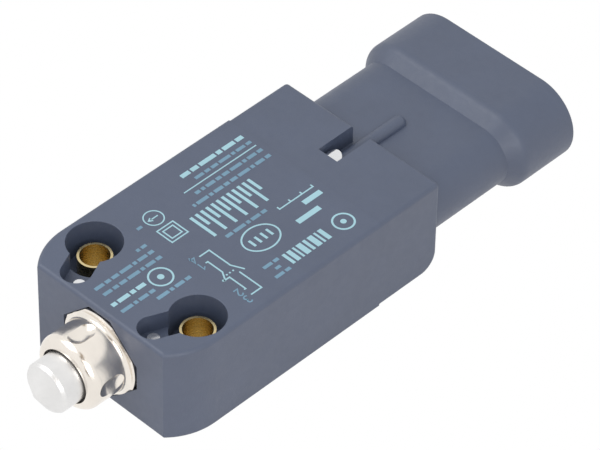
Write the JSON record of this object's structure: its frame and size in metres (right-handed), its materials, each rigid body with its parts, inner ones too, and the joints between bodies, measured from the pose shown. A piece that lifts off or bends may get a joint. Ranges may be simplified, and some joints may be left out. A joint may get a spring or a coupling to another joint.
{
  "type": "limit switch",
  "caption": "Plunger limit switch: flat plastic body with cross fixing holes, metal piston head, snap contacts inside and an oval plug-in connector at the rear.",
  "frame": {"origin": "midway between the two fixing holes, on the flat back face", "axes": "+Z out of the marked face along the fixing holes, +Y from the plunger towards the connector, +X across the body through the fixing holes"},
  "size_m": [0.0314, 0.0898, 0.016],
  "materials": {
    "housing_plastic": "matt moulded slate-blue plastic with a fine grain",
    "module_plastic": "matt moulded slate-blue plastic with a fine grain",
    "bush_brass": "turned brass",
    "bright_steel": "bright spring steel",
    "nickel": "nickel plated, bright",
    "bronze": "sintered bronze",
    "seal_rubber": "black rubber",
    "plunger_steel": "satin turned stainless steel",
    "spring_steel": "spring wire",
    "inner_plastic": "dark moulded plastic",
    "slide_plastic": "natural acetal",
    "contact_brass": "stamped brass strip",
    "silver": "silver alloy",
    "tinned_pins": "tin plated tabs",
    "lead_copper": "tinned copper wire",
    "potting_resin": "black potting resin"
  },
  "bodies": {
    "housing": {"main_housing": "housing_plastic", "connector_housing": "module_plastic", "fixing_bushes": "bush_brass", "head_lock_pins": "bright_steel", "rear_lock_clip": "bright_steel", "head_body": "nickel", "guide_bush": "bronze", "plunger_wiper": "seal_rubber", "head_end_plug": "bronze", "head_ring": "seal_rubber", "return_spring": "spring_steel", "rod_seal": "seal_rubber", "contact_base": "inner_plastic", "contact_cover": "inner_plastic", "cover_rivets": "bush_brass", "slide_spring": "spring_steel", "fixed_contact_1": "contact_brass", "fixed_contact_2": "contact_brass", "fixed_contact_3": "contact_brass", "fixed_contact_4": "contact_brass", "fixed_tips": "silver", "connector_pins": "tinned_pins", "pin_plate": "inner_plastic", "contact_leads": "lead_copper", "potting_block": "potting_resin", "body_gasket": "seal_rubber"},
    "plunger": {"plunger": "plunger_steel", "push_rod": "plunger_steel"},
    "slide": {"contact_slide": "slide_plastic", "link_springs": "spring_steel"},
    "bridges": {"bridge_carrier": "slide_plastic", "bridge_nc": "contact_brass", "bridge_no": "contact_brass", "bridge_tips": "silver"}
  },
  "joints": [
    {"name": "plunger_travel", "type": "slide", "parent": "housing", "child": "plunger", "axis": [0, 1, 0], "range_m": [0, 0.0045], "stiffness_N_per_m": 900, "springref_m": -0.0055, "deforming": ["return_spring"]},
    {"name": "slide_travel", "type": "slide", "parent": "housing", "child": "slide", "axis": [0, 1, 0], "range_m": [0, 0.0045], "stiffness_N_per_m": 150, "springref_m": -0.002, "deforming": ["slide_spring", "link_springs"]},
    {"name": "bridge_travel", "type": "slide", "parent": "housing", "child": "bridges", "axis": [0, 1, 0], "range_m": [0, 0.0015]}
  ],
  "couplings": [
    {"joint": "slide_travel", "follows": "plunger_travel", "ratio": 1},
    {"joint": "bridge_travel", "follows": "plunger_travel", "ratio": 0.3333}
  ]
}
